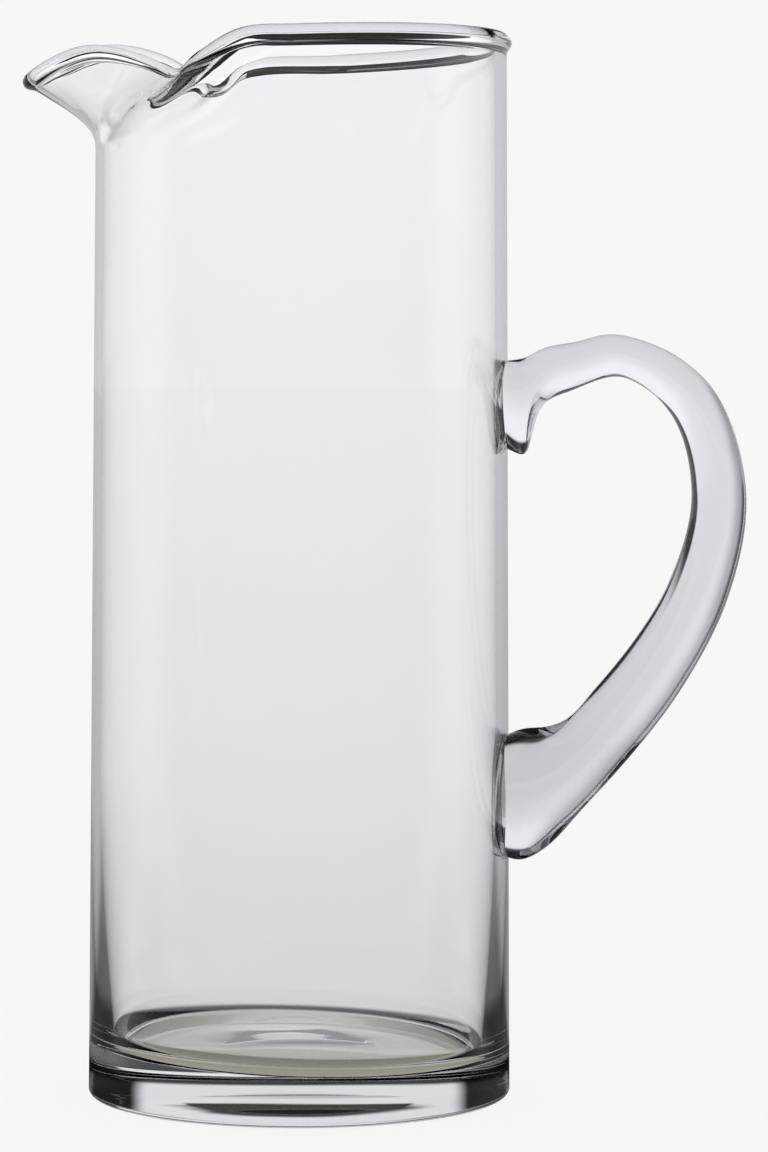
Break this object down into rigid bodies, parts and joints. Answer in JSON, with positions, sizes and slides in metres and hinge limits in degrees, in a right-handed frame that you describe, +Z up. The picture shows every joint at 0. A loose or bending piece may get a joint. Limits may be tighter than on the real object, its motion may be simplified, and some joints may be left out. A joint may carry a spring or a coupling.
{
  "type": "water carafe",
  "caption": "Tall clear glass water jug: straight round vessel with a heavy base, a beaded rim pulled into a pouring spout, and a loop handle sealed to its side.",
  "frame": {"origin": "on the vessel's axis, in the plane of the table that it stands on", "axes": "+Z up along the vessel's axis; -X towards the spout's tip; +X towards the handle; +Y to the far side as seen in the picture"},
  "size_m": [0.1745, 0.1016, 0.2545],
  "materials": {
    "vessel_glass": "clear blown soda-lime glass, fire-polished, very slightly grey-green where it is thick",
    "handle_glass": "clear drawn soda-lime glass rod, fire-polished, smooth"
  },
  "bodies": {
    "root": {"vessel": "vessel_glass", "handle": "handle_glass"}
  },
  "joints": []
}
